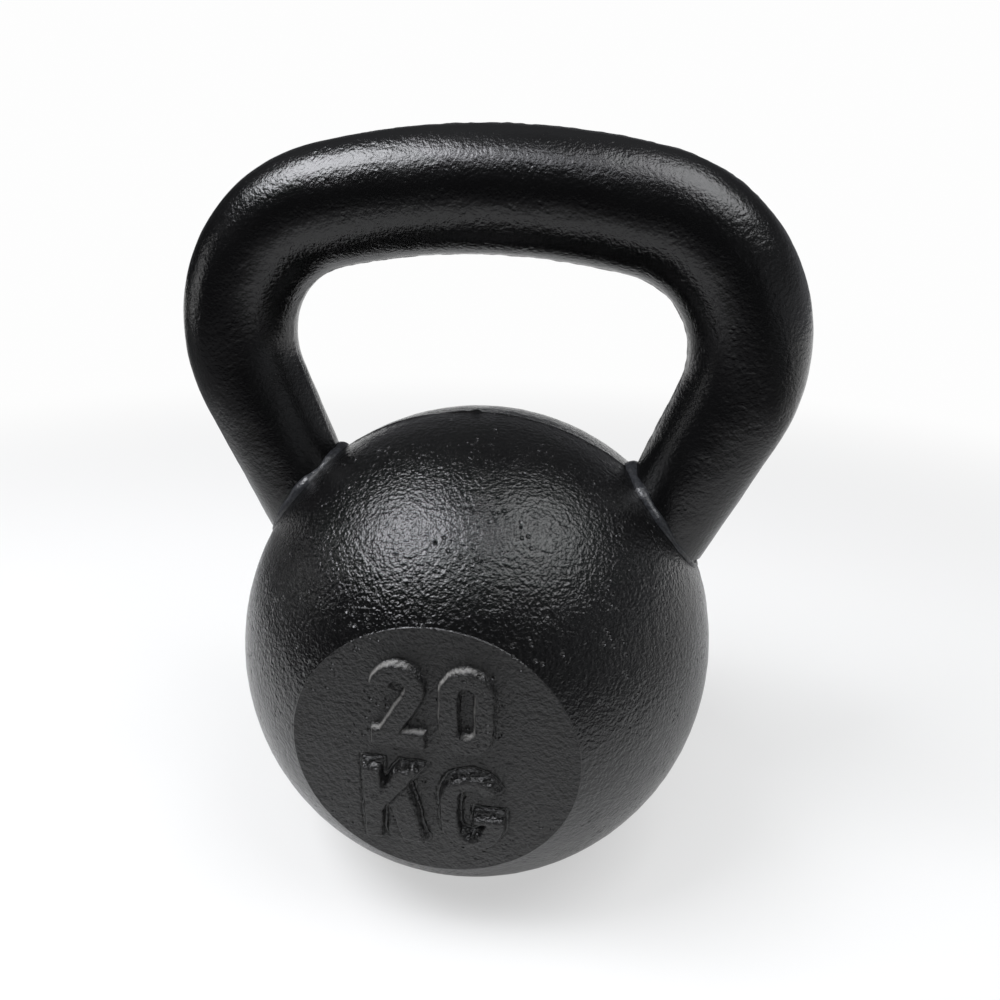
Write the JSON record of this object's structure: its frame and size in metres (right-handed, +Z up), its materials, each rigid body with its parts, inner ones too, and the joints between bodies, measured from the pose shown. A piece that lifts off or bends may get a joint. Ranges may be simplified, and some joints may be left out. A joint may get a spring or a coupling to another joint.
{
  "type": "kettlebell",
  "caption": "Kettlebell: a round iron ball with flat front, back and underside, and a bent round bar welded on over it as a handle for one or both hands.",
  "frame": {"origin": "centre of the flat underside", "axes": "+Z up through the grip, -Y out of the front flat with its figures, and +X to the right of someone who faces the figures"},
  "size_m": [0.206, 0.1482, 0.2469],
  "materials": {
    "ball_enamel": "semi-gloss black enamel over grainy sand-cast iron, matt on the flats",
    "handle_enamel": "gloss black enamel over smoothed cast iron, with an orange-peel surface",
    "bead_enamel": "gloss black enamel over a lumpy weld"
  },
  "bodies": {
    "root": {"ball": "ball_enamel", "handle": "handle_enamel", "left_weld_bead": "bead_enamel", "right_weld_bead": "bead_enamel"}
  },
  "joints": []
}
